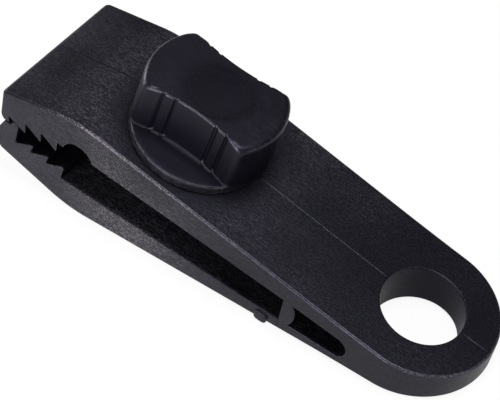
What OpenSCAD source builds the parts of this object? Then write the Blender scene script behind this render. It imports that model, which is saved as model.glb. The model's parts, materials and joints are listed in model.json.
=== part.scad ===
// Screw-down tarp clip: two toothed jaws moulded in one piece with a rope eye,
// drawn together by a thumb screw. Millimetres, origin at the middle of the rope eye.
// The clip lies on its lower jaw: -X is the nose, +Y is across the jaws, +Z is up.

/* [Jaws] */
// Middle of the rope eye to the tip of the nose
reach = 76.4; // [72:0.2:84]
// Width of the jaws at the nose
nose_w = 28; // [27:0.5:36]
// Thickness of both closed jaws at the nose
nose_h = 13.75; // [12:0.25:15]
// Rounding of the nose's outer corners
nose_r = 1.2; // [0.4:0.1:2.4]
// Tip of the nose to the ridge across each jaw
ridge_back = 15.8; // [13:0.2:18]
// Thickness of both closed jaws at the ridge, before it is rounded
ridge_h = 21.75; // [20.5:0.25:26]
// Rounding of the ridge
ridge_r = 22; // [8:1:30]
// Thickness where the straight arms end, near the eye
arm_end_h = 10.18; // [9.4:0.02:11]

/* [Rope eye] */
// Outer diameter of the eye
eye_d = 26.4; // [24:0.2:27]
// Bore for the rope or bungee
eye_bore_d = 14.4; // [9:0.2:15]
// Thickness of the eye at its outer end
eye_end_h = 5.24; // [4.6:0.02:5.6]
// Middle of the eye to the end of the straight arms, where the faces start to flatten
sweep_x = 13.5; // [10:0.5:15]

/* [Throat] */
// Middle of the eye to the closed end of the throat
root_x = 18; // [17.5:0.25:20]
// Height of the throat at its closed end
throat_h = 5.3; // [4.2:0.1:5.8]
// Middle of the throat below the middle of the eye
throat_drop = 0.75; // [0:0.05:1]
// Slope of the throat's roof and floor, degrees
throat_flare = 2; // [1:0.1:2.6]
// Radius of the round relief behind the upper teeth
relief_r = 3.15; // [2.4:0.05:3.6]
// Tip of the last upper tooth to the front of the relief
relief_land = 1.05; // [0.6:0.05:1.6]
// Height of the relief's middle above the middle of the eye
relief_z = 2; // [1.4:0.1:2.4]

/* [Teeth] */
// Full teeth on each jaw
tooth_count = 3; // [2:1:3]
// Distance from tooth to tooth
tooth_pitch = 3.25; // [2.8:0.05:3.3]
// Depth of an upper tooth's steep face
upper_tooth_h = 2.4; // [1.6:0.1:2.8]
// Depth of a lower tooth's steep face
lower_tooth_h = 2.15; // [1.6:0.05:2.4]
// How far an upper tooth's steep face leans back
upper_hook = 0.22; // [0:0.02:0.4]
// How far a lower tooth's steep face leans back
lower_hook = 0.55; // [0:0.05:0.8]
// Tip of the nose to the first upper tooth's tip
upper_tooth_x = 5.35; // [5.2:0.05:5.6]
// Tip of the nose to the first lower tooth's tip
lower_tooth_x = 7.3; // [7:0.05:7.5]
// Rise of the line of upper tips towards the throat, degrees
upper_tooth_rise = 5.8; // [3:0.1:7]
// Fall of the line of lower tips towards the throat, degrees
lower_tooth_fall = 3.2; // [2:0.1:6]
// Height of the first upper tip, from the middle of the eye
upper_tip_z = -0.3; // [-0.5:0.05:0]
// Gap between the crest of the first lower tooth and the upper tips' line
bite_gap = 1.35; // [1:0.05:1.8]

/* [Lips] */
// Height of the lower lip's top, from the middle of the eye
lip_z = 0.05; // [0:0.05:0.1]
// Tip of the nose to the end of each lip's bevel
lip_bevel_x = 1.2; // [0.8:0.1:1.6]
// Height of the upper lip's bevel
upper_bevel_h = 0.8; // [0.4:0.1:1.4]
// Height of the lower lip's bevel
lower_bevel_h = 2.65; // [1.6:0.05:3]
// Tip of the nose to the back of the upper lip
upper_lip_x = 2.2; // [2:0.05:2.3]
// Height of the notch behind the upper lip
notch_h = 1.4; // [1.2:0.05:1.6]
// Tip of the nose to the tip of the lower jaw's tongue
tongue_x = 2.9; // [2.8:0.05:3.1]
// Tip of the nose to the back of the tongue
tongue_back_x = 4.2; // [4:0.05:4.4]

/* [Side pockets] */
// Wall between the throat and a pocket, at its edges
pocket_wall = 1.75; // [1.2:0.05:2.4]
// Wall between the round end of a pocket and the eye's bore
pocket_eye_wall = 1; // [0.6:0.1:2]
// Height of a pocket at its round end
pocket_end_h = 4.2; // [3:0.1:4.4]
// Bulge of the wall into a pocket
pocket_bulge = 0.85; // [0.3:0.05:1.2]
// Web left in the middle, between the two pockets
pocket_web = 12.4; // [12:0.2:16]

/* [Hinge] */
// Length of the lower arm that bends
hinge_len = 8; // [5:0.5:10]

/* [Knob] */
// Diameter of the knob's flange and of its rounded ends
knob_d = 24.4; // [22:0.2:26]
// Height of the knob above the jaw
knob_h = 12; // [9:0.25:15]
// Thickness of the flange
flange_t = 1.9; // [1.2:0.1:2.6]
// Thickness of the grip at its waist
grip_t = 12.7; // [10:0.1:14]
// Radius of the grip's hollow sides
waist_r = 32; // [24:1:60]
// Rounding of the knob's upper edge
knob_edge_r = 0.7; // [0.2:0.1:1.4]
// Diameter of the shallow dish in the knob's top
dish_d = 10.6; // [8:0.2:12]
// Depth of the dish
dish_depth = 0.25; // [0.1:0.05:0.6]
// Width of a grip groove
groove_w = 1; // [0.6:0.1:1.4]
// Middle of the grip to the middle of each pair of grooves
groove_pair_x = 5; // [4:0.1:6]
// Distance between the two grooves of a pair
groove_gap = 2.65; // [2:0.05:3.2]
// How far the grip is turned from the clip's length, degrees
knob_turned = 4; // [0:1:90]

/* [Screw] */
// Tip of the nose to the foot of the screw's knob
screw_back = 30.55; // [28:0.05:34]
// Outer diameter of the thread
thread_d = 9.6; // [9:0.1:10]
// Depth of the thread
thread_depth = 0.6; // [0.4:0.05:1]
// Length of the tapered tip
tip_len = 1.6; // [0.8:0.1:2]
// Diameter of the flat end of the tip
tip_d = 5.6; // [4:0.1:6.4]

/* [Clearances] */
// Gap between the lips when the jaws are closed
lip_gap = 0.25; // [0.15:0.01:0.3]
// Gap under the knob's flange
seat_gap = 0.05; // [0.02:0.01:0.2]
// Gap around the thread in the upper jaw, on each side
screw_gap = 0.5; // [0.3:0.05:0.8]
// Gap around the thread in the lower jaw, on each side
nut_gap = 0.2; // [0.1:0.05:0.4]
// Depth of the tip's lowest edge inside the lower jaw
tip_recess = 0.3; // [0.2:0.05:1]

/* [Hidden] */
$fn = 96;
nylon = [0.07, 0.07, 0.08];
// A length well past the whole clip, for cuts that run right through
far = 200;
// How far the plan runs past the nose
past = 1;
arc_steps = 8;

function unit(v) = v / norm(v);
function arc(centre, r, from, to) =
    [for (i = [0 : arc_steps])
        centre + r * [cos(from + (to - from) * i / arc_steps), sin(from + (to - from) * i / arc_steps)]];
// Points of the arc of radius r that rounds the corner b between a and c
function rounded(a, b, c, r) =
    let (
        u = unit(a - b),
        v = unit(c - b),
        half = acos(u * v) / 2,
        centre = b + unit(u + v) * r / sin(half),
        from = b + u * r / tan(half) - centre,
        to = b + v * r / tan(half) - centre,
        start = atan2(from[1], from[0]),
        turn = atan2(from[0] * to[1] - from[1] * to[0], from * to)
    )
    arc(centre, r, start, start + turn);
function flipped(points) = [for (i = [len(points) - 1 : -1 : 0]) [points[i][0], -points[i][1]]];

// Outer face of a jaw: nose corner, ridge, straight arm, then the sweep to the eye's end
nose_corner = [-reach, nose_h / 2];
ridge = [ridge_back - reach, ridge_h / 2];
sweep_start = [-sweep_x, arm_end_h / 2];
sweep_end = [eye_d / 2, eye_end_h / 2];
arm_dir = unit(sweep_start - ridge);
arm_normal = [-arm_dir[1], arm_dir[0]];
arm_taper = asin(arm_normal[0]);
// The sweep leaves the arm smoothly and ends at the eye's outer end
sweep_span = sweep_end - sweep_start;
sweep_r = sweep_span * sweep_span / (2 * sweep_span * arm_normal);
sweep_centre = sweep_start + sweep_r * arm_normal;
sweep_end_angle = 270 + asin((sweep_end[0] - sweep_centre[0]) / sweep_r);
outer_face = concat(
    rounded([-reach, 0], nose_corner, ridge, nose_r),
    rounded(nose_corner, ridge, sweep_start, ridge_r),
    arc(sweep_centre, sweep_r, 270 - arm_taper, sweep_end_angle));

// The clip rests on the lower ridge and on the eye's lower end, so it is laid over by this angle
ridge_half = acos(unit(nose_corner - ridge) * arm_dir) / 2;
ridge_round = ridge + unit(unit(nose_corner - ridge) + arm_dir) * ridge_r / sin(ridge_half);
to_round = [sweep_end[0] - ridge_round[0], ridge_round[1] - sweep_end[1]];
lay = atan2(to_round[1], to_round[0]) + asin(ridge_r / norm(to_round));

// Throat, from its closed end to the teeth
throat_slope = tan(throat_flare);
throat_mid = -throat_drop;
function roof_z(x) = throat_mid + throat_h / 2 - throat_slope * (x + root_x);
function floor_z(x) = throat_mid - throat_h / 2 + throat_slope * (x + root_x);

// Upper mouth: lip, hooked teeth, round relief, roof of the throat.
// Lips and teeth are measured from the tip of the nose.
upper_lip_z = lip_z + lip_gap;
notch_top = [upper_lip_x - upper_hook, upper_lip_z + notch_h];
upper_lip = [
    [0, upper_lip_z + upper_bevel_h], [lip_bevel_x, upper_lip_z], [upper_lip_x, upper_lip_z], notch_top];
function upper_tip(i) =
    [upper_tooth_x + tooth_pitch * i, upper_tip_z + tooth_pitch * i * tan(upper_tooth_rise)];
// Front slope of the first upper tooth, which the tongue's top follows
first_slope = (upper_tip_z - notch_top[1]) / (upper_tooth_x - notch_top[0]);
function tongue_z(x) = notch_top[1] + first_slope * (x - notch_top[0]) - lip_gap;
relief = [upper_tip(tooth_count - 1)[0] + relief_land + relief_r - reach, relief_z];
relief_end = asin((roof_z(relief[0]) - relief_z) / relief_r);
upper_mouth = concat(
    [for (q = upper_lip) q - [reach, 0]],
    [for (i = [0 : tooth_count - 1], q = [[0, 0], [-upper_hook, upper_tooth_h]])
        upper_tip(i) + q - [reach, 0]],
    arc(relief, relief_r, 180, relief_end),
    [[-root_x, roof_z(-root_x)]]);

// Lower mouth: a tongue that nests in the first upper notch, hooked teeth, floor of the throat
lower_lip = [
    [0, lip_z - lower_bevel_h], [lip_bevel_x, lip_z], [upper_lip_x + lip_gap, lip_z],
    [tongue_x, tongue_z(tongue_x)], [tongue_back_x, tongue_z(tongue_back_x)]];
function lower_tip(i) =
    [lower_tooth_x + tooth_pitch * i, upper_tip_z - bite_gap - tooth_pitch * i * tan(lower_tooth_fall)];
lower_root = [lower_tip(0)[0] - tooth_pitch - lower_hook, lower_tip(0)[1] - lower_tooth_h];
last_tip = lower_tip(tooth_count - 1) - [reach, 0];
last_root_x = last_tip[0] - lower_hook;
lower_mouth = concat(
    [for (q = lower_lip) q - [reach, 0]],
    [lower_root - [reach, 0]],
    [for (i = [0 : tooth_count - 2], q = [[0, 0], [-lower_hook, -lower_tooth_h]])
        lower_tip(i) + q - [reach, 0]],
    [last_tip, [last_root_x, floor_z(last_root_x)], [-root_x, floor_z(-root_x)]]);

// Screw: square to the upper jaw's outer face
screw_foot = ridge + arm_dir * (screw_back - ridge_back) / arm_dir[0];
shank_d = thread_d - 2 * thread_depth;
thread_bore_d = thread_d + 2 * nut_gap;
clear_bore_d = thread_d + 2 * screw_gap;
// Distance down the screw's axis from the upper jaw's outer face to the lower jaw's outer face
through = 2 * screw_foot[1] * cos(arm_taper) / cos(2 * arm_taper);
shank_len = through - tip_d / 2 * tan(2 * arm_taper) - tip_recess;

module laid() { rotate([0, lay, 0]) children(); }
module at_screw() { translate([screw_foot[0], 0, screw_foot[1]]) rotate([0, arm_taper, 0]) children(); }
// A side outline, drawn in X and Z, carried across the clip
module across(width) { rotate([90, 0, 0]) linear_extrude(height = width, center = true) children(); }
module side_outline() { polygon(concat(outer_face, flipped(outer_face))); }
module plan() {
    front = -reach - past;
    polygon([[front, -nose_w / 2], [0, -eye_d / 2], [0, eye_d / 2], [front, nose_w / 2]]);
    circle(d = eye_d);
}
// Cuts a jaw's plan: straight sides and a round eye
module in_plan() {
    intersection() {
        across(2 * nose_w) children();
        linear_extrude(height = far, center = true) plan();
    }
}
// Everything above the mouth and throat, with the block behind the throat
module above_mouth() {
    polygon(concat(
        [[-far, upper_mouth[0][1]]], upper_mouth,
        [[-root_x, -far], [far, -far], [far, far], [-far, far]]));
}
// Everything below the mouth and throat, in front of that block
module below_mouth() {
    polygon(concat([[-far, lower_mouth[0][1]]], lower_mouth, [[-root_x, -far], [-far, -far]]));
}
module pocket_outline() {
    start = -root_x + pocket_wall;
    end_x = sqrt(pow(eye_bore_d / 2 + pocket_eye_wall, 2) - pow(pocket_web / 2, 2));
    end_mid = [-end_x - pocket_end_h / 2, throat_mid];
    bulge_half = throat_h / 2;
    bulge_r = (pow(bulge_half, 2) + pow(pocket_bulge, 2)) / (2 * pocket_bulge);
    difference() {
        union() {
            polygon([
                [start, roof_z(start)], end_mid + [0, pocket_end_h / 2],
                end_mid - [0, pocket_end_h / 2], [start, floor_z(start)]]);
            translate(end_mid) circle(d = pocket_end_h);
        }
        translate([start + pocket_bulge - bulge_r, throat_mid]) circle(r = bulge_r);
    }
}
module side_pockets() {
    for (side = [-1, 1])
        translate([0, side * (pocket_web + nose_w) / 2, 0]) across(nose_w) pocket_outline();
}
module screw_bore(d) { at_screw() cylinder(d = d, h = far, center = true); }

module clip_body() {
    color(nylon) laid() difference() {
        in_plan() intersection() {
            side_outline();
            above_mouth();
        }
        cylinder(d = eye_bore_d, h = far, center = true);
        side_pockets();
        screw_bore(clear_bore_d);
    }
}
module lower_arm(from, to) {
    in_plan() intersection() {
        side_outline();
        below_mouth();
        translate([from, -far]) square([to - from, 2 * far]);
    }
}
module hinge_web() {
    color(nylon) laid() lower_arm(-root_x - hinge_len, -root_x);
}
module lower_jaw() {
    color(nylon) laid() difference() {
        lower_arm(-far, -root_x - hinge_len);
        screw_bore(thread_bore_d);
    }
}
module knob_blank() {
    top_corner = [knob_d / 2, knob_h];
    dish_r = (pow(dish_d / 2, 2) + pow(dish_depth, 2)) / (2 * dish_depth);
    dish_half = asin(dish_d / 2 / dish_r);
    rotate_extrude() polygon(concat(
        [[0, seat_gap], [knob_d / 2, seat_gap]],
        rounded([knob_d / 2, 0], top_corner, [0, knob_h], knob_edge_r),
        arc([0, knob_h - dish_depth + dish_r], dish_r, 270 + dish_half, 270)));
}
module grip_side() {
    translate([0, grip_t / 2 + waist_r, flange_t]) cylinder(r = waist_r, h = knob_h);
    for (pair = [-1, 1], x = [-groove_gap / 2, groove_gap / 2])
        grip_groove(pair * groove_pair_x + x);
}
module grip_groove(x) {
    face_y = grip_t / 2 + waist_r - sqrt(pow(waist_r, 2) - pow(x, 2));
    translate([x, face_y, flange_t]) cylinder(d = groove_w, h = knob_h);
}
module knob() {
    color(nylon) laid() at_screw() rotate([0, 0, knob_turned]) difference() {
        knob_blank();
        grip_side();
        rotate([0, 0, 180]) grip_side();
    }
}
module screw_shank() {
    color(nylon) laid() at_screw() {
        translate([0, 0, tip_len - shank_len]) cylinder(d = shank_d, h = shank_len - tip_len + seat_gap);
        translate([0, 0, -shank_len]) cylinder(d1 = tip_d, d2 = shank_d, h = tip_len);
    }
}

clip_body();
hinge_web();
lower_jaw();
knob();
screw_shank();
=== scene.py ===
"""A screw-down tarp clip of black nylon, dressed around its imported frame.

Shapes are worked out in millimetres along the clip's own length, width and thickness, from the middle
of the rope eye, and are set into the frame in metres as each piece is finished.
"""
import json

import bmesh
import bpy
import numpy as np
from mathutils import Matrix, Vector


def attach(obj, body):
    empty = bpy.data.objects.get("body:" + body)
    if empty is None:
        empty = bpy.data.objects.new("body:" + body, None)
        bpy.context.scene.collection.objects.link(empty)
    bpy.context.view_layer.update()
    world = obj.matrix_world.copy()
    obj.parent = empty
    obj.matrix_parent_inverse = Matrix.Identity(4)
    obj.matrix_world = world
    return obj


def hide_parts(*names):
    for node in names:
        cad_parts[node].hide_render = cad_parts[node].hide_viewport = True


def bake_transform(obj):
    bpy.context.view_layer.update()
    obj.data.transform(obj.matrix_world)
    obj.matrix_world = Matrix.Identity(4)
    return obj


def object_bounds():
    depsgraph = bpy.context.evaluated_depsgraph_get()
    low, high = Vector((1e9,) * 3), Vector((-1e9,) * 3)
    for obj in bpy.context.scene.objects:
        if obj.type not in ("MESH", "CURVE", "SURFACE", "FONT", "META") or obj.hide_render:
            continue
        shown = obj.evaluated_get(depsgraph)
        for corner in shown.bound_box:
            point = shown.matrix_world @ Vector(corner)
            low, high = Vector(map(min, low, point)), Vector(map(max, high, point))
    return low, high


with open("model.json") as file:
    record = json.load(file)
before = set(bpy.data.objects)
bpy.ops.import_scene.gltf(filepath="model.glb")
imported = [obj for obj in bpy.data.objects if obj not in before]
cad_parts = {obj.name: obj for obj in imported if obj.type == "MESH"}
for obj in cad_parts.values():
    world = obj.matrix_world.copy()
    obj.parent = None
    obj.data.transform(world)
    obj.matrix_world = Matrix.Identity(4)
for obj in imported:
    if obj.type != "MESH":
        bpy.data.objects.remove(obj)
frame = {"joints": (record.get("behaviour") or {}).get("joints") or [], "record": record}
cad_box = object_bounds()

# Clip body
# Upper jaw, closed end of the throat, side pockets and rope eye: most of one shot of black filled nylon.
# Its mould opens sideways, so each outline is drawn from the side and carried across the width.
reach = 76.4
nose_w = 28.0
nose_h = 13.75
nose_r = 1.2
ridge_back = 15.8
ridge_h = 21.75
ridge_r = 22.0
arm_end_x = -13.5
arm_end_h = 10.18
eye_r = 13.2
eye_bore_r = 7.2
eye_end_h = 5.24
root_x = -18.0
throat_h = 5.3
throat_mid = -0.75
throat_slope = np.tan(np.radians(2.0))


def arc(centre, radius, start, end, steps):
    """Points on a circle round centre, from the start angle to the end angle in degrees."""
    turn = np.radians(np.linspace(start, end, steps + 1))
    return np.asarray(centre) + radius * np.column_stack([np.cos(turn), np.sin(turn)])


def unit(vector):
    """The vector divided by its own length."""
    return vector / np.linalg.norm(vector)


def rounded(before, corner, after, radius, steps):
    """The arc that touches both edges of a corner, radius over tan of half its angle back from it."""
    first = unit(before - corner)
    last = unit(after - corner)
    half = np.arccos(first @ last) / 2
    middle = corner + unit(first + last) * radius / np.sin(half)
    first = first * radius / np.tan(half) + corner - middle
    last = last * radius / np.tan(half) + corner - middle
    start = np.degrees(np.arctan2(first[1], first[0]))
    turn = np.degrees(np.arctan2(first[0] * last[1] - first[1] * last[0], first @ last))
    return arc(middle, radius, start, start + turn, steps)


def half_width(x):
    """Half the clip's width: straight sides from the nose to the eye, then the eye's circle."""
    straight = eye_r - (nose_w / 2 - eye_r) * x / (reach + 1)
    circle = np.sqrt(np.maximum(eye_r ** 2 - x ** 2, 0))
    return np.where(x < 0, straight, circle)


nose_tip = np.array([-reach, 0.0])
nose_corner = np.array([-reach, nose_h / 2])
ridge = np.array([ridge_back - reach, ridge_h / 2])
arm_end = np.array([arm_end_x, arm_end_h / 2])
eye_end = np.array([eye_r, eye_end_h / 2])
arm_dir = unit(arm_end - ridge)
arm_normal = np.array([-arm_dir[1], arm_dir[0]])
arm_root = arm_end + arm_dir * (root_x - arm_end_x) / arm_dir[0]
sweep_span = eye_end - arm_end
sweep_r = sweep_span @ sweep_span / (2 * sweep_span @ arm_normal)
sweep_middle = arm_end + sweep_r * arm_normal
sweep_x = np.array([arm_end_x, -11.0, -9.2, -5.4, -2.7, 0.0])
sweep_z = sweep_middle[1] - np.sqrt(sweep_r ** 2 - (sweep_x - sweep_middle[0]) ** 2)
eye_x = eye_r * np.sin(np.linspace(0, np.pi / 2, 41))[1:]
eye_z = sweep_z[-1] + (eye_end[1] - sweep_z[-1]) * eye_x / eye_r
outer_face = np.concatenate([
    rounded(nose_tip, nose_corner, ridge, nose_r, steps=6),
    rounded(nose_corner, ridge, arm_end, ridge_r, steps=16),
    [arm_root],
    np.column_stack([sweep_x, sweep_z]),
    np.column_stack([eye_x, eye_z])])
outer_face_below = outer_face * [1, -1]

tooth_count = 3
tooth_pitch = 3.25
lip_gap = 0.25
lip_z = 0.05
lip_bevel_x = 1.2
upper_lip_x = 2.2
upper_tooth_h = 2.4
upper_hook = 0.22
upper_bevel_h = 0.8
upper_teeth_x = (3.5, 12.5)
upper_row_lean = np.radians(5.8)
notch_h = 1.4
first_upper_tip = np.array([5.67, 0.15])
upper_tip_step = tooth_pitch * np.array([1, np.tan(upper_row_lean)])
relief_r = 3.15
relief_land = 1.05
relief_z = 2.25
relief_start = 168


def throat_wall(x, side):
    """Height of the throat's roof, side 1, or floor, side -1, which part towards the nose."""
    return throat_mid + side * (throat_h / 2 - throat_slope * (x - root_x))


upper_lip_z = lip_z + lip_gap
notch_top = np.array([upper_lip_x - upper_hook, upper_lip_z + notch_h])
upper_tips = first_upper_tip + np.arange(tooth_count)[:, None] * upper_tip_step
upper_teeth = np.stack([upper_tips, upper_tips + [-upper_hook, upper_tooth_h]], axis=1).reshape(-1, 2)
relief = nose_tip + [upper_tips[-1, 0] + relief_land + relief_r, relief_z]
relief_end = np.degrees(np.arcsin((throat_wall(relief[0], 1) - relief_z) / relief_r))
upper_lip = np.array([
    [0, upper_lip_z + upper_bevel_h], [lip_bevel_x, upper_lip_z], [upper_lip_x, upper_lip_z]])
upper_mouth = np.concatenate([
    nose_tip + upper_lip,
    [nose_tip + notch_top],
    nose_tip + upper_teeth,
    arc(relief, relief_r, relief_start, relief_end, steps=24),
    [[root_x, throat_wall(root_x, 1)], [root_x, throat_wall(root_x, -1)]]])


same_point = 1e-5


def new_piece(name, points, faces):
    """A mesh object of these points and faces, with doubled points merged and every face turned outwards."""
    mesh = bpy.data.meshes.new(name)
    mesh.from_pydata(np.asarray(points).tolist(), [], faces)
    work = bmesh.new()
    work.from_mesh(mesh)
    bmesh.ops.remove_doubles(work, verts=work.verts, dist=same_point)
    bmesh.ops.recalc_face_normals(work, faces=work.faces)
    work.to_mesh(mesh)
    work.free()
    piece = bpy.data.objects.new(name, mesh)
    bpy.context.scene.collection.objects.link(piece)
    return piece


def carried_across(name, outline, sides, flats=()):
    """A side outline carried from one side of the clip to the other, as a strip for each step of the outline.

    Sides are the faces that close one side, and flats are runs of steps that make one flat face each.
    """
    count = len(outline)
    width = half_width(outline[:, 0])
    front = np.column_stack([outline[:, 0], -width, outline[:, 1]])
    points = np.concatenate([front, front * [1, -1, 1]])
    in_flats = [i for run in flats for i in run[:-1]]
    here = np.setdiff1d(np.arange(count), in_flats)
    after = (here + 1) % count
    strips = np.column_stack([here, after, after + count, here + count]).tolist()
    flat_faces = [[*run, *[i + count for i in reversed(run)]] for run in flats]
    far_sides = [[i + count for i in face] for face in sides]
    return new_piece(name, points, strips + flat_faces + sides + far_sides)


def tube_faces(stations, count):
    """Quads between rings of points that follow one another, and a face that closes each end."""
    here = np.arange(stations - 1)[:, None] * count + np.arange(count)
    after = np.arange(stations - 1)[:, None] * count + np.roll(np.arange(count), -1)
    walls = np.stack([here, after, after + count, here + count], axis=-1).reshape(-1, 4).tolist()
    return walls + [list(range(count)), list(range((stations - 1) * count, stations * count))]


def tube(name, rings):
    """Rings of points, an array of ring, point and place, joined one to the next, with both ends closed."""
    return new_piece(name, rings.reshape(-1, 3), tube_faces(*rings.shape[:2]))


bore_steps = 96
bore_start = 1.5


def bore_cutter(name, foot, axis, radius, reach_each_way):
    """A round bar about an axis in the clip's middle plane: cos and sin of each turn, times radius."""
    ring = arc([0, 0], radius, bore_start, bore_start + 360, bore_steps)[:-1]
    side = np.array([axis[2], 0, -axis[0]])
    circle = ring[:, :1] * side + ring[:, 1:] * [0, 1, 0]
    ends = np.array([-reach_each_way, reach_each_way])
    return tube(name, foot + ends[:, None, None] * axis + circle)


def finished(piece):
    """Bakes a piece's modifiers into its mesh."""
    graph = bpy.context.evaluated_depsgraph_get()
    mesh = bpy.data.meshes.new_from_object(piece.evaluated_get(graph))
    piece.modifiers.clear()
    piece.data = mesh


def cut(piece, cutters):
    """Takes the cutters out of a piece."""
    for cutter in cutters:
        step = piece.modifiers.new(cutter.name, "BOOLEAN")
        step.object = cutter
        step.solver = "EXACT"
    finished(piece)
    for cutter in cutters:
        bpy.data.objects.remove(cutter)


def read(items, name, width=1, kind=float):
    """One value, or a row of width values, for every point, corner, edge or face of a mesh."""
    values = np.empty(len(items) * width, kind)
    items.foreach_get(name, values)
    return values.reshape(-1, width) if width > 1 else values


def mark(piece, name, amount, where):
    """Gives each point or corner of a piece a value for its material to read.

    The rub mark says how far a place is made paler, up to 1, for wear and painted highlight, or darker and
    rougher, down to -1, for painted shade. Side is 1 on the clip's two sides.
    """
    values = piece.data.attributes.new(name, "FLOAT", where)
    values.data.foreach_set("value", np.asarray(amount, np.float32))


nose_edge_r = 0.9
top_edge_r = 0.45
base_edge_r = 0.4
bore_edge_r = 0.25
tooth_edge_r = 0.6
fine_edge_r = 0.1
edge_steps = 4
sharp_turn = np.radians(35)
touching = 0.002
close_by = 0.02


def ease_edges(piece, teeth_x):
    """Rounds the nose's corners, the long edges, the eye's rims, the teeth and all other sharp edges.

    Each kind has its own radius, and the nose's fades into the long edges' over the curve of the nose. The
    teeth begin and end at teeth_x, measured from the nose. The seam between the clip body and its lower arm
    stays sharp, so that the two meet without a line.
    """
    mesh = piece.data
    x, y, z = read(mesh.vertices, "co", 3).T
    ends = read(mesh.edges, "vertices", 2, int)
    mesh.set_sharp_from_angle(angle=sharp_turn)
    sharp = read(mesh.attributes["sharp_edge"].data, "value", kind=bool)
    on_outer = np.abs(np.abs(z) - np.interp(x, outer_face[:, 0], outer_face[:, 1])) < touching
    on_nose = np.abs(x + reach) < touching
    from_side = np.where(x < 0, half_width(x) - np.abs(y), eye_r - np.hypot(x, y))
    on_side = np.abs(from_side) < touching
    on_rim = np.abs(np.hypot(x, y) - eye_bore_r) < close_by
    on_seam = (np.abs(x - root_x) < touching) & (z < throat_wall(root_x, -1) + touching)
    in_teeth = (x > -reach + teeth_x[0]) & (x < -reach + teeth_x[1]) & ~on_outer

    def joins(marked):
        """The edges that have both ends marked."""
        return marked[ends].all(axis=1)

    radius = np.where(sharp & ~joins(on_seam), fine_edge_r, 0)
    long_edge = sharp & joins((on_outer | on_nose) & on_side)
    from_nose = np.clip((x[ends].mean(axis=1)[long_edge] + reach) / nose_edge_r, 0, 1)
    along_r = np.where(z[ends].mean(axis=1)[long_edge] > 0, top_edge_r, base_edge_r)
    radius[long_edge] = nose_edge_r + (along_r - nose_edge_r) * from_nose
    radius[sharp & joins(on_outer & on_rim)] = bore_edge_r
    crosswise = np.abs(np.diff(y[ends], axis=1)[:, 0]) > nose_w / 2
    radius[sharp & crosswise & joins(in_teeth)] = tooth_edge_r
    weight = mesh.attributes.new("bevel_weight_edge", "FLOAT", "EDGE")
    weight.data.foreach_set("value", (radius / nose_edge_r).astype(np.float32))
    mesh.materials.append(None)
    mesh.materials.append(None)
    bevel = piece.modifiers.new("eased edges", "BEVEL")
    bevel.limit_method = "WEIGHT"
    bevel.width = nose_edge_r
    bevel.segments = edge_steps
    bevel.use_clamp_overlap = False
    bevel.material = 1
    finished(piece)
    hold_width(piece)
    mark_eased(piece)


def hold_width(piece):
    """Keeps a piece, as far as the eye's middle, within the clip's half width at each point's place."""
    points = read(piece.data.vertices, "co", 3)
    limit = np.where(points[:, 0] < 0, half_width(points[:, 0]), eye_r)
    points[:, 1] = np.clip(points[:, 1], -limit, limit)
    piece.data.vertices.foreach_set("co", points.ravel())


# Amounts of wear and painted highlight along the eased edges by place along the clip; below zero, painted
# shade.
edge_wear_and_painted_light = np.array([
    [-reach + 6, -0.6], [-reach + 17, 1.0], [-48, 0.85], [-36, 0.65], [-30, 0.35], [-25, 0.55], [-18, 0.35],
    [-12, 0.45], [-5, 0.8]])
rim_wear_and_painted_light = 0.2
rim_zone = 1.0
mouth_len = 20.0
mouth_depth = 0.6
mouth_margin = 0.3
facing_aside = 0.5


def mark_eased(piece):
    """Makes the eased edges paler, for wear and painted highlight, by amounts listed along the clip, and the
    eye's rims by a smaller amount; near the nose the amounts fall below zero and paint those edges darker, as
    shade.

    The walls inside the mouth are painted dark and made rougher, for the shade inside it, and the faces of
    the clip's two sides are marked as such.
    """
    mesh = piece.data
    eased = read(mesh.polygons, "material_index", kind=int)
    sizes = read(mesh.polygons, "loop_total", kind=int)
    corners = read(mesh.loops, "vertex_index", kind=int)
    places = read(mesh.vertices, "co", 3)[corners]
    on_edge = np.repeat(eased, sizes) == 1
    inside_edge = np.ones(len(mesh.vertices))
    inside_edge[corners[~on_edge]] = 0
    # Wear and painted highlight on the eased edges, and painted shade where the amount is below zero.
    wear_and_painted_light = np.interp(places[:, 0], edge_wear_and_painted_light[:, 0], edge_wear_and_painted_light[:, 1])
    wear_and_painted_light[np.hypot(places[:, 0], places[:, 1]) < eye_bore_r + rim_zone] = rim_wear_and_painted_light
    rub_and_painted_light = np.where(on_edge, inside_edge[corners] * wear_and_painted_light, 0)
    x, y, z = read(mesh.polygons, "center", 3).T
    aside = np.abs(read(mesh.polygons, "normal", 3)[:, 1]) > facing_aside
    depth = np.interp(x, outer_face[:, 0], outer_face[:, 1]) - np.abs(z)
    in_mouth = ~aside & (depth > mouth_depth) & (x < -reach + mouth_len)
    # Painted shade: the walls inside the mouth are made dark and rougher.
    rub_and_painted_light[np.repeat(in_mouth & (half_width(x) - np.abs(y) > mouth_margin), sizes)] = -1
    mark(piece, "rub_and_painted_light", rub_and_painted_light, "CORNER")
    mark(piece, "side", np.repeat(aside, sizes), "CORNER")
    mesh.polygons.foreach_set("material_index", np.zeros(len(eased), int))


eye_axis = np.array(next(m["axis"] for m in frame["record"]["mounts"] if m["name"] == "rope_eye"))
clip_axes = np.array([[eye_axis[2], 0, -eye_axis[0]], [0, 1, 0], eye_axis])
millimetre = 0.001


def in_frame(points):
    """Places in millimetres along the clip's length, width and thickness, set in the frame in metres."""
    return np.asarray(points) @ clip_axes * millimetre


smooth_turn = np.radians(50)


def seated(piece, material):
    """Sets a piece into the frame, smooths its shading across eased edges and gives it its material."""
    mesh = piece.data
    mesh.vertices.foreach_set("co", in_frame(read(mesh.vertices, "co", 3)).ravel())
    mesh.shade_smooth()
    mesh.set_sharp_from_angle(angle=smooth_turn)
    mesh.materials.clear()
    mesh.materials.append(material)
    shading = piece.modifiers.new("flat faces", "WEIGHTED_NORMAL")
    shading.keep_sharp = True
    mesh.update()


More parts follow.
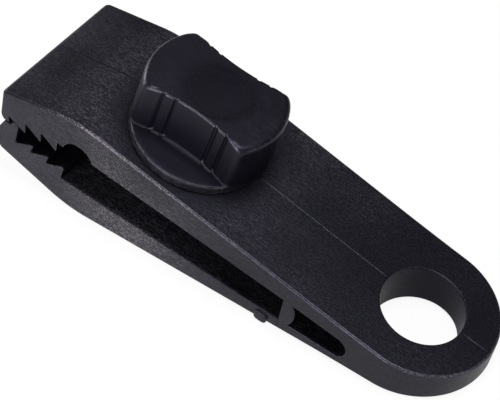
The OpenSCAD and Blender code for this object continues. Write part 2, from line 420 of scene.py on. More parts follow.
pocket_wall = 1.75
pocket_end_h = 4.2
pocket_bulge = 0.85
pocket_web = 12.4
pocket_eye_wall = 1.0
pocket_x = root_x + pocket_wall
pocket_end_x = np.sqrt((eye_bore_r + pocket_eye_wall) ** 2 - (pocket_web / 2) ** 2)
pocket_end = np.array([-pocket_end_x - pocket_end_h / 2, throat_mid])
bulge_r = ((throat_h / 2) ** 2 + pocket_bulge ** 2) / (2 * pocket_bulge)
bulge_turn = np.degrees(np.arcsin((throat_wall(pocket_x, 1) - throat_mid) / bulge_r))
pocket_outline = np.concatenate([
    arc(pocket_end, pocket_end_h / 2, 90, -90, steps=24),
    arc([pocket_x + pocket_bulge - bulge_r, throat_mid], bulge_r, -bulge_turn, bulge_turn, steps=16)])


def pocket_cutter(name, side):
    """The pocket's outline from the web in the middle out past one side of the clip."""
    depths = side * np.array([pocket_web / 2, nose_w])
    ring = np.insert(pocket_outline, 1, 0, axis=1)
    return tube(name, ring + depths[:, None, None] * [0, 1, 0])


screw_turn = next(j for j in frame["joints"] if j["name"] == "knob_turn")
screw_axis = clip_axes @ np.array(screw_turn["axis"])
screw_foot = clip_axes @ np.array(screw_turn["pos_m"]) / millimetre
thread_r = 4.8
screw_gap = 0.5
past = 20.0

top_count = len(outer_face)
eye_start = int(np.flatnonzero(np.isclose(outer_face[:, 0], 0))[0])
root_index = int(np.flatnonzero(np.isclose(outer_face[:, 0], root_x))[0])
body_outline = np.concatenate([outer_face, outer_face_below[root_index:][::-1], upper_mouth[::-1]])
flat_side = list(range(eye_start + 1)) + list(range(2 * top_count - eye_start - 1, len(body_outline)))
round_side = [
    [i, i + 1, 2 * top_count - i - 2, 2 * top_count - i - 1] for i in range(eye_start, top_count - 1)]
eye_top = list(range(eye_start, top_count))
eye_bottom = list(range(top_count, 2 * top_count - eye_start))
clip_body = carried_across("clip_moulding", body_outline, [flat_side] + round_side, [eye_top, eye_bottom])
cut(clip_body, [
    bore_cutter("eye bore", np.zeros(3), np.array([0, 0, 1.0]), eye_bore_r, past),
    bore_cutter("screw bore", screw_foot, screw_axis, thread_r + screw_gap, past),
    pocket_cutter("front pocket", -1),
    pocket_cutter("back pocket", 1)])
ease_edges(clip_body, upper_teeth_x)


def node_makers(tree):
    """Three functions that add to a tree: any node, a ramp between two ranges, and a step of arithmetic.

    The first takes a node's kind, its inputs' values or links and its properties, and gives the node. The
    others give the value that comes out.
    """
    def add(kind, inputs=None, **properties):
        node = tree.nodes.new(kind)
        for key, value in properties.items():
            setattr(node, key, value)
        for key, value in (inputs or {}).items():
            if isinstance(value, bpy.types.NodeSocket):
                tree.links.new(value, node.inputs[key])
            else:
                node.inputs[key].default_value = value
        return node

    def ramp(value, start, end, low=0.0, high=1.0, **properties):
        limits = {0: value, 1: start, 2: end, 3: low, 4: high}
        return add("ShaderNodeMapRange", limits, **properties).outputs[0]

    def reckon(operation, *values, **properties):
        return add("ShaderNodeMath", dict(enumerate(values)), operation=operation, **properties).outputs[0]

    return add, ramp, reckon


streak_stretch = (0.33, 1, 1)
noise_range = (0.3, 0.7)


def moulded_grain():
    """Shader group: streaks along X, round specks and broad clouds, each 0 to 1, from a place in metres."""
    group = bpy.data.node_groups.new("moulded grain", "ShaderNodeTree")
    group.interface.new_socket("Place", in_out="INPUT", socket_type="NodeSocketVector")
    kinds = ("Streaks", "Specks", "Clouds")
    for name in kinds:
        group.interface.new_socket(name + " per metre", in_out="INPUT", socket_type="NodeSocketFloat")
    for name in kinds:
        group.interface.new_socket(name, in_out="OUTPUT", socket_type="NodeSocketFloat")
    add, ramp, _ = node_makers(group)
    given = add("NodeGroupInput").outputs
    out = add("NodeGroupOutput").inputs
    place = given["Place"]
    drawn = add("ShaderNodeVectorMath", {0: place, 1: streak_stretch}, operation="MULTIPLY").outputs[0]
    for name, spot, detail, rough in zip(kinds, (drawn, place, place), (3, 2, 2), (0.6, 0.7, 0.5)):
        noise = add("ShaderNodeTexNoise", {
            "Vector": spot, "Scale": given[name + " per metre"], "Detail": detail, "Roughness": rough})
        group.links.new(ramp(noise.outputs["Fac"], *noise_range), out[name])
    return group


grain_group = moulded_grain()
scuff_and_highlight_colour = (0.2, 0.185, 0.185, 1)
sheen = (0.76, 0.72, 1, 1)
near_wear = (0.25, 0.8)
far_grain_and_shade = (1.0, 0.2)
chafe_and_highlight_fade = (1.0, 0.15)
front_mm = -11.0
front_edge_mm = (-13.1, -11.5)
hold_mm = (15.0, 2.0)
hold_wear = 0.5
knob_shadow_mm = (12.5, 18.0)
fleck_range = (0.1, 0.7)
blurred_fleck = 0.3
mottle_range = (0.35, 0.95)
side_scuff = 0.8
rub_highlight_pale = 0.25
rub_gloss = -0.15
rub_flat = -0.85
speck_height = 0.5


def nylon(
        name, dark, pale, rough, gloss_level, streaks, specks, clouds, relief_mm, grain_and_shade_mm, front_painted_light=0,
        held_mm=()):
    """Moulded nylon: dark to pale with the grain, rough as (smoothest, roughest), and a fine uneven skin.

    Clouds, and a stretch of the length given in millimetres, decide where the grain shows most: it blurs
    before that stretch, and past it fewer flecks and painted shade darken it towards the eye. The skin is
    painted paler towards the front edge, as light, the grain grows round each place in held_mm, where fingers
    brace the clip, and close round the screw it is painted darker, as the knob's shadow under its rim. Places
    with a rub mark above zero, such as the eased edges, are smoother and paler, for wear and painted
    highlight, and places below zero are rougher and painted dark, for shade. The pale edges are chafed in
    specks, wear and painted highlight together, less and less towards the eye, and so is the side of the clip
    round each place in held_mm.
    """
    material = bpy.data.materials.new(name)
    material.use_nodes = True
    tree = material.node_tree
    tree.nodes.clear()
    add, ramp, reckon = node_makers(tree)
    place = add("ShaderNodeTexCoord").outputs["Object"]
    scales = {"Streaks per metre": streaks, "Specks per metre": specks, "Clouds per metre": clouds}
    streak, speck, cloud = add("ShaderNodeGroup", {"Place": place, **scales}, node_tree=grain_group).outputs
    rub_and_painted_light = add("ShaderNodeAttribute", attribute_name="rub_and_painted_light").outputs["Fac"]
    side = add("ShaderNodeAttribute", attribute_name="side").outputs["Fac"]

    def away_from(spot):
        return add("ShaderNodeVectorMath", {0: place, 1: in_frame(spot)}, operation="DISTANCE").outputs[1]

    along, across = add("ShaderNodeSeparateXYZ", {0: place}).outputs[:2]
    ends = np.multiply(grain_and_shade_mm, millimetre)
    near = ramp(along, ends[0], ends[1], *near_wear)
    # Towards the eye, fewer flecks and painted shade darken the skin.
    far = ramp(along, ends[2], ends[3], *far_grain_and_shade)
    grain_and_shade = reckon("MULTIPLY", near, far)
    # Painted light: the skin grows paler towards the front edge.
    front = ramp(across, 0, front_mm * millimetre, 0, front_painted_light)
    scuffs_and_front_light = reckon("MULTIPLY", front, ramp(across, *np.multiply(front_edge_mm, millimetre)))
    scuffs = 0.0
    for spot in held_mm:
        fade = np.multiply(hold_mm, millimetre)
        scuff = ramp(away_from(spot), *fade, 0, hold_wear, interpolation_type="SMOOTHSTEP")
        scuffs_and_front_light = reckon("ADD", scuffs_and_front_light, scuff)
        scuffs = reckon("ADD", scuffs, scuff)
    # Painted shade: fewer pale flecks close round the screw, as the knob's shadow under its rim.
    outside_knob_shadow = ramp(away_from(screw_foot), *np.multiply(knob_shadow_mm, millimetre))
    # Above zero the rub mark is wear and painted highlight, below zero it is painted shade.
    bright = reckon("MAXIMUM", rub_and_painted_light, 0)

    fleck = ramp(reckon("MULTIPLY", streak, speck), *fleck_range)
    fleck = add("ShaderNodeMix", {0: near, 2: blurred_fleck, 3: fleck}).outputs[0]
    fleck = reckon("MULTIPLY_ADD", bright, rub_highlight_pale, fleck)
    cover = reckon("MULTIPLY_ADD", scuffs_and_front_light, grain_and_shade, reckon("MULTIPLY", cloud, far))
    cover = reckon("MULTIPLY", cover, outside_knob_shadow)
    cover = reckon("ADD", cover, rub_and_painted_light, use_clamp=True)
    shade = reckon("MULTIPLY", fleck, cover)
    colour = add("ShaderNodeMix", {0: shade, 6: (*dark, 1), 7: (*pale, 1)}, data_type="RGBA").outputs[2]

    # Chafed specks: wear, and on the eased edges painted highlight as well.
    chafe_and_highlight = reckon("MULTIPLY", ramp(along, ends[1], ends[2], *chafe_and_highlight_fade), far)
    chafe_and_highlight = reckon("MULTIPLY", chafe_and_highlight, bright)
    on_side = reckon("MULTIPLY", reckon("MULTIPLY", side, side_scuff), outside_knob_shadow)
    chafe_and_highlight = reckon("MULTIPLY_ADD", scuffs, on_side, chafe_and_highlight)
    chafe_and_highlight = reckon("MULTIPLY", chafe_and_highlight, ramp(speck, *mottle_range))
    colour = add("ShaderNodeMix", {0: chafe_and_highlight, 6: colour, 7: scuff_and_highlight_colour}, data_type="RGBA").outputs[2]

    gloss = reckon("MULTIPLY_ADD", rub_and_painted_light, rub_gloss, ramp(speck, 0, 1, *rough))
    uneven = reckon("MULTIPLY_ADD", bright, rub_flat, grain_and_shade, use_clamp=True)
    height = reckon("MULTIPLY_ADD", speck, speck_height, streak)
    height = reckon("MULTIPLY", height, uneven)
    bump = add("ShaderNodeBump", {"Height": height, "Strength": 1.0, "Distance": relief_mm * millimetre})
    surface = add("ShaderNodeBsdfPrincipled", {
        "Base Color": colour, "Roughness": gloss, "Normal": bump.outputs[0],
        "Specular IOR Level": gloss_level, "Specular Tint": sheen})
    add("ShaderNodeOutputMaterial", {"Surface": surface.outputs[0]})
    return material


clip_nylon = nylon(
    "clip_nylon", dark=(0.0014, 0.0019, 0.003), pale=(0.076, 0.071, 0.088), rough=(0.32, 0.52),
    gloss_level=0.21, streaks=3000, specks=3400, clouds=48, relief_mm=0.035, grain_and_shade_mm=(-76, -60, -28, -8),
    front_painted_light=0.3, held_mm=((-48, -14, 9.5), (-50, -14, -5)))


upright = 0.3


def bore_faces(piece):
    """The faces of the eye's bore: upright, and no further from its middle than its radius."""
    x, y, _ = read(piece.data.polygons, "center", 3).T
    lean = np.abs(read(piece.data.polygons, "normal", 3)[:, 2])
    return (lean < upright) & (np.hypot(x, y) < eye_bore_r + close_by)


# A darker, less glossy copy of the nylon: painted shade inside the eye's bore and along the nose's flash.
painted_shade_nylon = nylon(
    "painted_shade_nylon", dark=(0.0032, 0.0024, 0.0058), pale=(0.009, 0.0075, 0.0135), rough=(0.42, 0.55),
    gloss_level=0.11, streaks=900, specks=2600, clouds=60, relief_mm=0.01, grain_and_shade_mm=(-76, -62, -20, -2))
in_bore = bore_faces(clip_body)
seated(clip_body, clip_nylon)
clip_body.data.materials.append(painted_shade_nylon)
clip_body.data.polygons.foreach_set("material_index", in_bore.astype(int))
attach(clip_body, "clip_body")
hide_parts("clip_body")

# Lower jaw and its arm
# The lower half of the same shot: hooked teeth that bite between the upper ones, the screw's bore, and an arm
# that thins towards the closed end of the throat and bends there as the screw lets the jaws part.
lower_tooth_h = 2.15
lower_hook = 0.55
lower_bevel_h = 2.65
lower_teeth_x = (3.5, 14.5)
lower_row_lean = np.radians(3.2)
tongue_x = np.array([3.15, 4.2])
tongue_gap = 0.06
bite_gap = 1.56
first_lower_tip = np.array([7.63, first_upper_tip[1] - bite_gap])
lower_tip_step = tooth_pitch * np.array([1, -np.tan(lower_row_lean)])
hinge_x = -26.0
bend_steps = 12
nut_gap = 0.2
first_flank = first_upper_tip - notch_top
first_rise = first_flank[1] / first_flank[0]
tongue_z = notch_top[1] + first_rise * (tongue_x - notch_top[0]) - tongue_gap
lower_tips = first_lower_tip + np.arange(tooth_count)[:, None] * lower_tip_step
lower_roots = lower_tips - [lower_hook, lower_tooth_h]
lower_teeth = np.stack([lower_tips, lower_roots], axis=1).reshape(-1, 2)
lower_teeth[-1, 1] = throat_wall(lower_teeth[-1, 0] - reach, -1)
lower_lip = np.array([[0, lip_z - lower_bevel_h], [lip_bevel_x, lip_z], [upper_lip_x + lip_gap, lip_z]])
lower_mouth = np.concatenate([
    nose_tip + lower_lip,
    nose_tip + np.column_stack([tongue_x, tongue_z]),
    [nose_tip + lower_roots[0] - [tooth_pitch, 0]],
    nose_tip + lower_teeth,
    [[root_x, throat_wall(root_x, -1)]]])
arm_outline = np.concatenate([outer_face_below[:root_index + 1][::-1], lower_mouth])
lower_arm = carried_across("lower_arm", arm_outline, [list(range(len(arm_outline)))])
cut(lower_arm, [bore_cutter("thread bore", screw_foot, screw_axis, thread_r + nut_gap, past)])
ease_edges(lower_arm, lower_teeth_x)


def crosscut(piece, stations):
    """Adds points to a piece along planes across the clip, over the stretch where the real arm bends."""
    work = bmesh.new()
    work.from_mesh(piece.data)
    for station in stations:
        everything = work.verts[:] + work.edges[:] + work.faces[:]
        bmesh.ops.bisect_plane(
            work, geom=everything, dist=same_point, plane_co=(station, 0, 0), plane_no=(1, 0, 0))
    work.to_mesh(piece.data)
    work.free()


crosscut(lower_arm, np.linspace(hinge_x, root_x, bend_steps + 1)[:-1])
seated(lower_arm, clip_nylon)
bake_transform(lower_arm)
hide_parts("lower_jaw", "hinge_web")

# Screw shank
# A coarse right-hand thread moulded with the knob: it runs free through the upper jaw and winds into the
# bore of the lower one. Its end tapers, so that it finds that bore.
shank_top = 0.05
shank_len = 17.5443
core_r = 4.2
pitch = 3.0
tip_len = 1.6
tip_r = 2.8
thread_start = 1.6
thread_fade = 1.0
thread_foot = 0.35
thread_flank = 0.4
screw_side = np.array([screw_axis[2], 0, -screw_axis[0]])
screw_axes = np.array([screw_side, [0, 1, 0], screw_axis])


def on_screw(points):
    """Places across the screw and along its axis, from the upper jaw's outer face, as places in the clip."""
    return np.asarray(points) @ screw_axes + screw_foot


def threaded_rod(stations, around):
    """Rings round an axis: radius is the core plus a flat-topped ridge that climbs one pitch each turn.

    The ridge fades in below the knob, and the whole is held inside a cone at the tip.
    """
    height = np.linspace(shank_top, -shank_len, stations)[:, None]
    turn = np.linspace(0, 2 * np.pi, around, endpoint=False)[None, :]
    wave = np.abs((height / pitch - turn / (2 * np.pi)) % 1 - 0.5) * 2
    ridge_up = np.clip((wave - thread_foot) / thread_flank, 0, 1)
    fade = np.clip((-height - thread_start) / thread_fade, 0, 1)
    radius = core_r + (thread_r - core_r) * ridge_up * fade
    cone = tip_r + (height + shank_len) * (core_r - tip_r) / tip_len
    radius = np.minimum(radius, np.maximum(cone, tip_r))
    return np.stack([radius * np.cos(turn), radius * np.sin(turn), height + 0 * turn], axis=-1)


shank = tube("screw_thread", on_screw(threaded_rod(stations=150, around=72)))
knob_nylon = nylon(
    "knob_nylon", dark=(0.0032, 0.0031, 0.0056), pale=(0.11, 0.105, 0.12), rough=(0.35, 0.47),
    gloss_level=0.21, streaks=1400, specks=2400, clouds=200, relief_mm=0.006,
    grain_and_shade_mm=(-300, -250, -200, -100))
seated(shank, knob_nylon)
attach(shank, "thumb_screw")
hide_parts("screw_shank")

# Knob
# A round flange with a two-sided grip, moulded over the top of the screw: waisted sides with two pairs of
# grooves for the fingers, eased edges and a shallow dish in the top. Flash shows along the foot of the grip.
knob_r = 12.2
knob_h = 12.0
flange_t = 1.9
grip_half = 6.35
waist_r = 32.0
waist_middle = grip_half + waist_r
corner_r = 1.2
groove_x = np.array([-6.2, -3.95, 3.95, 6.2])
groove_half = 0.4
groove_wall = 0.4
groove_deep = 0.32
groove_run_out = 0.6
knob_seat = 0.05
knob_turned = np.radians(4.0)
side_edge_r = 0.3
end_edge_r = 1.0
corner_edge_r = 0.5
corner_fade = np.radians(5.0)
rim_edge_r = 0.35
heel_r = 0.2
foot_r = 0.15
flash_h = 0.04
dish_r = 5.3
dish_deep = 0.18
dish_power = 1.3
crown = 0.3
least_lean = 0.3


def smooth_step(share):
    """The share squared, times three less twice the share."""
    return share ** 2 * (3 - 2 * share)


def grip_section(turn, deep):
    """Radius of the grip at each turn, the cosine between its face and that radius, and its share of side.

    Each is where a ray from the middle meets a circle: the round end about the middle, the waist about a
    middle far outside, or between them the corner, whose circle touches both. The grooves are taken off
    square to the waist, and their walls rise as a smooth step.
    """
    ray = np.column_stack([np.abs(np.cos(turn)), np.abs(np.sin(turn))])
    angle = np.arctan2(ray[:, 1], ray[:, 0])
    corner_y = (waist_middle ** 2 + (knob_r - corner_r) ** 2 - (waist_r + corner_r) ** 2) / (2 * waist_middle)
    corner = np.array([np.sqrt((knob_r - corner_r) ** 2 - corner_y ** 2), corner_y])
    touch = corner + unit(np.array([0, waist_middle]) - corner) * corner_r
    start, end = np.arctan2(corner[1], corner[0]), np.arctan2(touch[1], touch[0])
    on_side = np.clip((angle - start + corner_fade) / (end - start + 2 * corner_fade), 0, 1)
    sweep = waist_r ** 2 - (waist_middle * ray[:, 0]) ** 2
    waist = waist_middle * ray[:, 1] - np.sqrt(np.maximum(sweep, 0))
    waist_lean = np.clip((waist_middle * ray[:, 1] - waist) / waist_r, least_lean, 1)
    across = np.abs(waist * np.cos(turn) - groove_x[:, None]) / groove_half
    wall = np.clip((1 - across) / groove_wall, 0, 1)
    groove = deep * smooth_step(wall).sum(axis=0)
    aside = corner[0] * ray[:, 1] - corner[1] * ray[:, 0]
    chord = np.sqrt(np.maximum(corner_r ** 2 - aside ** 2, 0))
    zones = [angle > end, angle > start]
    radius = np.select(zones, [waist - groove / waist_lean, ray @ corner + chord], knob_r)
    return radius, np.select(zones, [waist_lean, chord / corner_r], 1), smooth_step(on_side)


def knob_rings(around):
    """Rings from the middle of the underside, over the flange, up the grip and in to the middle of the top.

    The grooves grow shallow over the rounded edge of the top, which is widest at the grip's corners.
    """
    turn = np.linspace(0, 2 * np.pi, around, endpoint=False)
    grip, lean, on_side = grip_section(turn, groove_deep)
    plain = grip_section(turn, 0)[0]
    shelf = knob_r - grip
    rim = np.minimum(rim_edge_r, shelf / 2)
    foot = np.minimum(foot_r / lean, shelf / 2)
    edge_r = end_edge_r + (side_edge_r - end_edge_r) * on_side + corner_edge_r * 4 * on_side * (1 - on_side)
    edge = edge_r / lean
    quarter = np.linspace(0, np.pi / 2, 6)[:, None]
    under_steps = np.array([0.0, 0.3, 0.6, 0.9])[:, None]
    ledge_steps = np.linspace(0.15, 0.85, 5)[:, None]
    side_steps = np.linspace(0.06, 0.98, 5)[:, None]
    inner_steps = np.linspace(1, 0, 31)[1:, None]
    flat = np.ones_like(turn)
    under = under_steps * (knob_r - heel_r) * flat
    heel = knob_r - heel_r * (1 - np.sin(quarter)) * flat
    flange = knob_r - rim * (1 - np.cos(quarter))
    shelf_out = knob_r - rim
    shelf_in = grip + foot
    ledge = shelf_out + (shelf_in - shelf_out) * ledge_steps
    foot_curve = grip + foot * (1 - np.sin(quarter))
    side = grip * np.ones_like(side_steps)
    run_out = groove_run_out * (plain - grip)
    top_curve = grip + run_out * np.sin(quarter) - edge * (1 - np.cos(quarter))
    inner = top_curve[-1] * inner_steps
    radius = np.concatenate([under, heel, flange, ledge, foot_curve, side, top_curve, inner])
    lift = flash_h * np.sin(quarter * 2) * np.minimum(shelf / foot_r, 1)
    dish = dish_deep * np.clip(1 - (inner / dish_r) ** 2, 0, 1) ** dish_power + crown * (inner / knob_r) ** 2
    fall = crown * (top_curve[-1] / knob_r) ** 2
    foot_top = flange_t + foot * lean
    height = np.concatenate([
        knob_seat + 0 * under,
        knob_seat + heel_r * (1 - np.cos(quarter)) * flat,
        flange_t - rim + rim * np.sin(quarter),
        flange_t + 0 * ledge,
        flange_t + foot * lean * (1 - np.cos(quarter)) + lift,
        foot_top + (knob_h - fall - edge_r - foot_top) * side_steps,
        knob_h - fall - edge_r * (1 - np.sin(quarter)),
        knob_h - dish])
    turn = turn + knob_turned
    return np.stack([radius * np.cos(turn), radius * np.sin(turn), height], axis=-1)


swirl_rings = 1600
swirl_curl = 0.9
swirl_depth = np.array([1.0, 0.7])
swirl_reach = np.array([2.0, -0.5])
swirl_gloss = (-0.25, -0.07)


def swirled(material):
    """Adds the mould cutter's marks to the dish: rings of noise, read by radius and turn, over the gloss."""
    tree = material.node_tree
    add, ramp, reckon = node_makers(tree)
    surface = next(n for n in tree.nodes if n.type == "BSDF_PRINCIPLED")
    plain = surface.inputs["Roughness"].links[0].from_socket
    place = add("ShaderNodeTexCoord").outputs["Object"]
    away = add("ShaderNodeVectorMath", {0: place, 1: in_frame(screw_foot)}, operation="SUBTRACT").outputs[0]

    def away_along(axis):
        direction = in_frame(axis) / millimetre
        return add("ShaderNodeVectorMath", {0: away, 1: direction}, operation="DOT_PRODUCT").outputs[1]

    u, v, up = [away_along(axis) for axis in screw_axes]
    flat = add("ShaderNodeCombineXYZ", {0: u, 1: v}).outputs[0]
    radius = add("ShaderNodeVectorMath", {0: flat}, operation="LENGTH").outputs[1]
    ring = reckon("MULTIPLY", radius, swirl_rings)
    curl = reckon("MULTIPLY", reckon("ARCTAN2", v, u), swirl_curl)
    spot = add("ShaderNodeCombineXYZ", {0: ring, 1: curl}).outputs[0]
    marks = add("ShaderNodeTexNoise", {"Vector": spot, "Scale": 1.0, "Detail": 2}).outputs["Fac"]
    high = ramp(up, *((knob_h - swirl_depth) * millimetre))
    near = ramp(radius, *((dish_r + swirl_reach) * millimetre))
    change = ramp(marks, *noise_range, *swirl_gloss)
    gloss = reckon("MULTIPLY_ADD", change, reckon("MULTIPLY", high, near), plain)
    tree.links.new(gloss, surface.inputs["Roughness"])


# Shares of wear and painted highlight on the knob's curved edges.
rub_highlight_gain = 5.0
rim_rub_highlight = 0.6
groove_rub_highlight = 1.0
foot_rub_highlight = 0.2
end_rub_highlight = 0.1
edge_rub_highlight = 0.75
rim_zone_h = 0.1
rim_zone_w = 0.05
end_zone = 3.5


def knob_rub_and_highlight(piece):
    """Paler on curved edges, for wear and painted highlight: a gain times the lean of the surface times what
    it lacks of upright, up to 1.

    The lower ends of the grooves, the grip's upper edges and the flange's rim are made palest, and the foot
    and the round ends of the grip hardly at all.
    """
    facing = read(piece.data.vertex_normals, "vector", 3)
    points = read(piece.data.vertices, "co", 3)
    side, across, up = (points - screw_foot).dot(screw_axes.T).T
    along = side * np.cos(knob_turned) + across * np.sin(knob_turned)
    in_groove = np.abs(along - groove_x[:, None]).min(axis=0) < groove_half
    on_rim = (up < flange_t + rim_zone_h) & (np.hypot(side, across) > knob_r - rim_edge_r - rim_zone_w)
    at_foot = (up < knob_h / 2) & ~on_rim
    on_end = np.abs(along) > knob_r - end_zone
    share = np.select(
        [on_rim, at_foot & in_groove, at_foot, on_end], [rim_rub_highlight, groove_rub_highlight, foot_rub_highlight, end_rub_highlight], edge_rub_highlight)
    lean = np.abs(facing @ screw_axis)
    mark(piece, "rub_and_painted_light", np.clip(rub_highlight_gain * lean * (1 - lean), 0, 1) * share, "POINT")


knob = tube("thumb_knob", on_screw(knob_rings(around=1080)))
knob_rub_and_highlight(knob)
swirled(knob_nylon)
seated(knob, knob_nylon)
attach(knob, "thumb_screw")
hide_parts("knob")

# Moulding marks
# Flash stands along the parting line of the clip's mould, a thin raised thread down the middle of the outer
# faces, and the runner that fed the nylon broke off as a low stub on the front of the bending arm. The thread
# is painted dark along the nose, as shade, and paler along the body, as highlight.
flash_y = 0.3
flash_half = 0.14
flash_up = 0.07
flash_taper = 1.5
flash_step = 0.5
flash_least = 8
flash_painted_highlight = 0.3
nose_margin = 0.6
knob_margin = 0.1
bore_margin = 0.3
eye_margin = 0.5
ridge_margin = 3.0
stub_middle = [-21.05, 0.82]
stub_half = [1.25, 0.5, 1.1]
stub_power = 0.6


def flash_line(path):
    """A lens-shaped thread along a path of length and height: up by one minus the square of the way across.

    Its ends taper to a point, and its lower half lies inside the wall.
    """
    step = np.gradient(path, axis=0)
    step = step / np.linalg.norm(step, axis=1)[:, None]
    normal = np.column_stack([-step[:, 1], step[:, 0]])
    run = np.append(0, np.cumsum(np.linalg.norm(np.diff(path, axis=0), axis=1)))
    taper = np.clip(np.minimum(run, run[-1] - run) / flash_taper, 0, 1) ** 0.5
    across = np.array([-1, -0.5, 0, 0.5, 1, 0.5, 0, -0.5])
    up = np.array([0, 0.75, 1, 0.75, 0, -0.75, -1, -0.75]) * flash_up
    place = path[:, None, :] + normal[:, None, :] * (up * taper[:, None])[..., None]
    y = flash_y + across * flash_half * taper[:, None]
    return np.stack([place[..., 0], y, place[..., 1]], axis=-1)


def on_outer_face(start, end, side):
    """Points along the upper outer face, side 1, or the lower one, side -1, from start to end."""
    x = np.linspace(start, end, max(int(abs(end - start) / flash_step), flash_least))
    return np.column_stack([x, side * np.interp(x, outer_face[:, 0], outer_face[:, 1])])


knob_front = screw_foot[0] - knob_r - knob_margin
knob_back = screw_foot[0] + knob_r + knob_margin
nose_line = flash_line(on_outer_face(-reach + nose_margin, knob_front, 1))
body_lines = [
    flash_line(on_outer_face(knob_back, -eye_bore_r - bore_margin, 1)),
    flash_line(on_outer_face(eye_bore_r + bore_margin, eye_r - eye_margin, 1))]
arm_line = flash_line(on_outer_face(ridge[0] - ridge_margin, -reach + nose_margin, -1))


def several_tubes(name, tubes):
    """One piece of several closed tubes."""
    starts = np.cumsum([0] + [t.shape[0] * t.shape[1] for t in tubes])
    faces = [[i + s for i in face] for t, s in zip(tubes, starts) for face in tube_faces(*t.shape[:2])]
    return new_piece(name, np.concatenate([t.reshape(-1, 3) for t in tubes]), faces)


# Painted shade: the nose's flash thread takes the darker copy of the nylon and reads as a dark line.
nose_flash = tube("nose_parting_line", nose_line)
seated(nose_flash, painted_shade_nylon)
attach(nose_flash, "clip_body")
body_flash = several_tubes("parting_line", body_lines)
# Painted highlight: the flash along the body is made paler.
mark(body_flash, "rub_and_painted_light", np.full(len(body_flash.data.vertices), flash_painted_highlight), "POINT")
seated(body_flash, clip_nylon)
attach(body_flash, "clip_body")
arm_flash = tube("lower_parting_line", arm_line)
seated(arm_flash, clip_nylon)
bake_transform(arm_flash)


def softened(value):
    """The size of a value to the power stub_power, with its own sign."""
    return np.sign(value) * np.abs(value) ** stub_power


def pad(stations, around):
    """A squarish rounded pad: sines and cosines of two turns, each softened, times its half sizes."""
    tilt = np.linspace(-np.pi / 2, np.pi / 2, stations)[:, None]
    turn = np.linspace(0, 2 * np.pi, around, endpoint=False)[None, :]
    girth = softened(np.cos(tilt))
    return np.stack([
        girth * softened(np.cos(turn)),
        softened(np.sin(tilt)) + 0 * turn,
        girth * softened(np.sin(turn))], axis=-1) * stub_half


stub_z = np.interp(stub_middle[0], outer_face_below[:, 0], outer_face_below[:, 1]) + stub_middle[1]
stub_at = [stub_middle[0], -half_width(stub_middle[0]), stub_z]
gate_stub = tube("gate_stub", pad(stations=24, around=48) + stub_at)
seated(gate_stub, clip_nylon)
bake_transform(gate_stub)

# Floor
# A sheet of white paper that the clip lies on. It is white to the eye and in reflections, and keeps a shadow.
floor_half = 3.0
paper_grey = (0.9, 0.9, 0.9, 1)
seen_white = 0.9
floor_z = cad_box[0].z
corners = np.array([[-1, -1], [1, -1], [1, 1], [-1, 1]]) * floor_half
floor = new_piece("floor", np.column_stack([corners, np.full(4, floor_z)]), [[0, 1, 2, 3]])
paper = bpy.data.materials.new("paper")
paper.use_nodes = True
paper.node_tree.nodes.clear()
add, _, reckon = node_makers(paper.node_tree)
ray = add("ShaderNodeLightPath").outputs
seen = reckon("ADD", ray["Is Camera Ray"], ray["Is Glossy Ray"])
seen = reckon("ADD", seen, ray["Is Transmission Ray"], use_clamp=True)
share = reckon("MULTIPLY", seen, seen_white)
sheet = add("ShaderNodeBsdfDiffuse", {"Color": paper_grey}).outputs[0]
white = add("ShaderNodeEmission", {"Color": (1, 1, 1, 1), "Strength": 1.0}).outputs[0]
mixed = add("ShaderNodeMixShader", {0: share, 1: sheet, 2: white}).outputs[0]
add("ShaderNodeOutputMaterial", {"Surface": mixed})
floor.data.materials.append(paper)

# Light
# A dim room and five soft lamps: a wide one low in front, one low before the nose, one overhead, and two
# faint ones, low past the eye and high behind.
room_strength = 0.03
lamp_aim = [-35, 0, 0]
world = bpy.data.worlds.new("studio")
bpy.context.scene.world = world
world.use_nodes = True
room = world.node_tree.nodes["Background"].inputs
room["Strength"].default_value = room_strength
room["Color"].default_value = (1, 1, 1, 1)


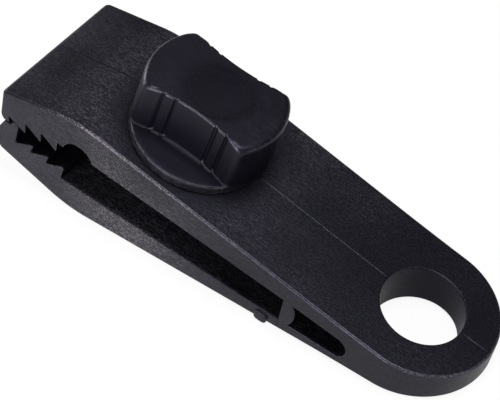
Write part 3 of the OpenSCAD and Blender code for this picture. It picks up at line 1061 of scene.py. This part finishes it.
def soft_lamp(name, place_mm, width_mm, height_mm, watts):
    """An oblong area lamp at a place measured along the clip, facing lamp_aim."""
    lamp = bpy.data.lights.new(name, "AREA")
    lamp.shape = "RECTANGLE"
    lamp.size = width_mm * millimetre
    lamp.size_y = height_mm * millimetre
    lamp.energy = watts
    holder = bpy.data.objects.new(name, lamp)
    bpy.context.scene.collection.objects.link(holder)
    start = Vector(in_frame(place_mm))
    facing = (Vector(in_frame(lamp_aim)) - start).to_track_quat("-Z", "Y").to_matrix().to_4x4()
    holder.matrix_world = Matrix.Translation(start) @ facing


soft_lamp("front lamp", [-66, -292, 62], 200, 110, 0.95)
soft_lamp("nose lamp", [-328, 0, 62], 120, 110, 0.72)
soft_lamp("top lamp", [-14, 0, 299], 120, 120, 0.82)
soft_lamp("eye lamp", [258, 0, 62], 120, 110, 0.11)
soft_lamp("back lamp", [-145, 190, 190], 160, 160, 0.055)

# Camera
# It stands in front of the clip and to its right, looks down at it and is rolled, as in the photograph.
camera_aim = np.array([-34.48, 0.03, 0.0])
camera_distance = 341.53
camera_azimuth = np.radians(24.445)
camera_elevation = np.radians(50.426)
camera_roll = np.radians(14.674)
focal_px = 2057.4
image_w = 500
image_h = 400
principal_px = np.array([247.5, 203.7])
back = np.array([
    np.sin(camera_azimuth) * np.cos(camera_elevation),
    -np.cos(camera_azimuth) * np.cos(camera_elevation),
    np.sin(camera_elevation)])
level = unit(np.cross([0, 0, 1], back))
rise = np.cross(back, level)
right = level * np.cos(camera_roll) + rise * np.sin(camera_roll)
above = rise * np.cos(camera_roll) - level * np.sin(camera_roll)
view = bpy.data.cameras.new("photo view")
view.sensor_width = 36.0
view.lens = focal_px / image_w * view.sensor_width
view.shift_x = (image_w / 2 - principal_px[0]) / image_w
view.shift_y = (principal_px[1] - image_h / 2) / image_w
view.clip_start = 0.01
camera = bpy.data.objects.new("photo view", view)
bpy.context.scene.collection.objects.link(camera)
turned = np.array([right, above, back]) @ clip_axes
place = Matrix(turned.T.tolist()).to_4x4()
place.translation = in_frame(camera_aim + back * camera_distance)
camera.matrix_world = place
bpy.context.scene.camera = camera
bpy.context.scene.view_settings.view_transform = "Standard"
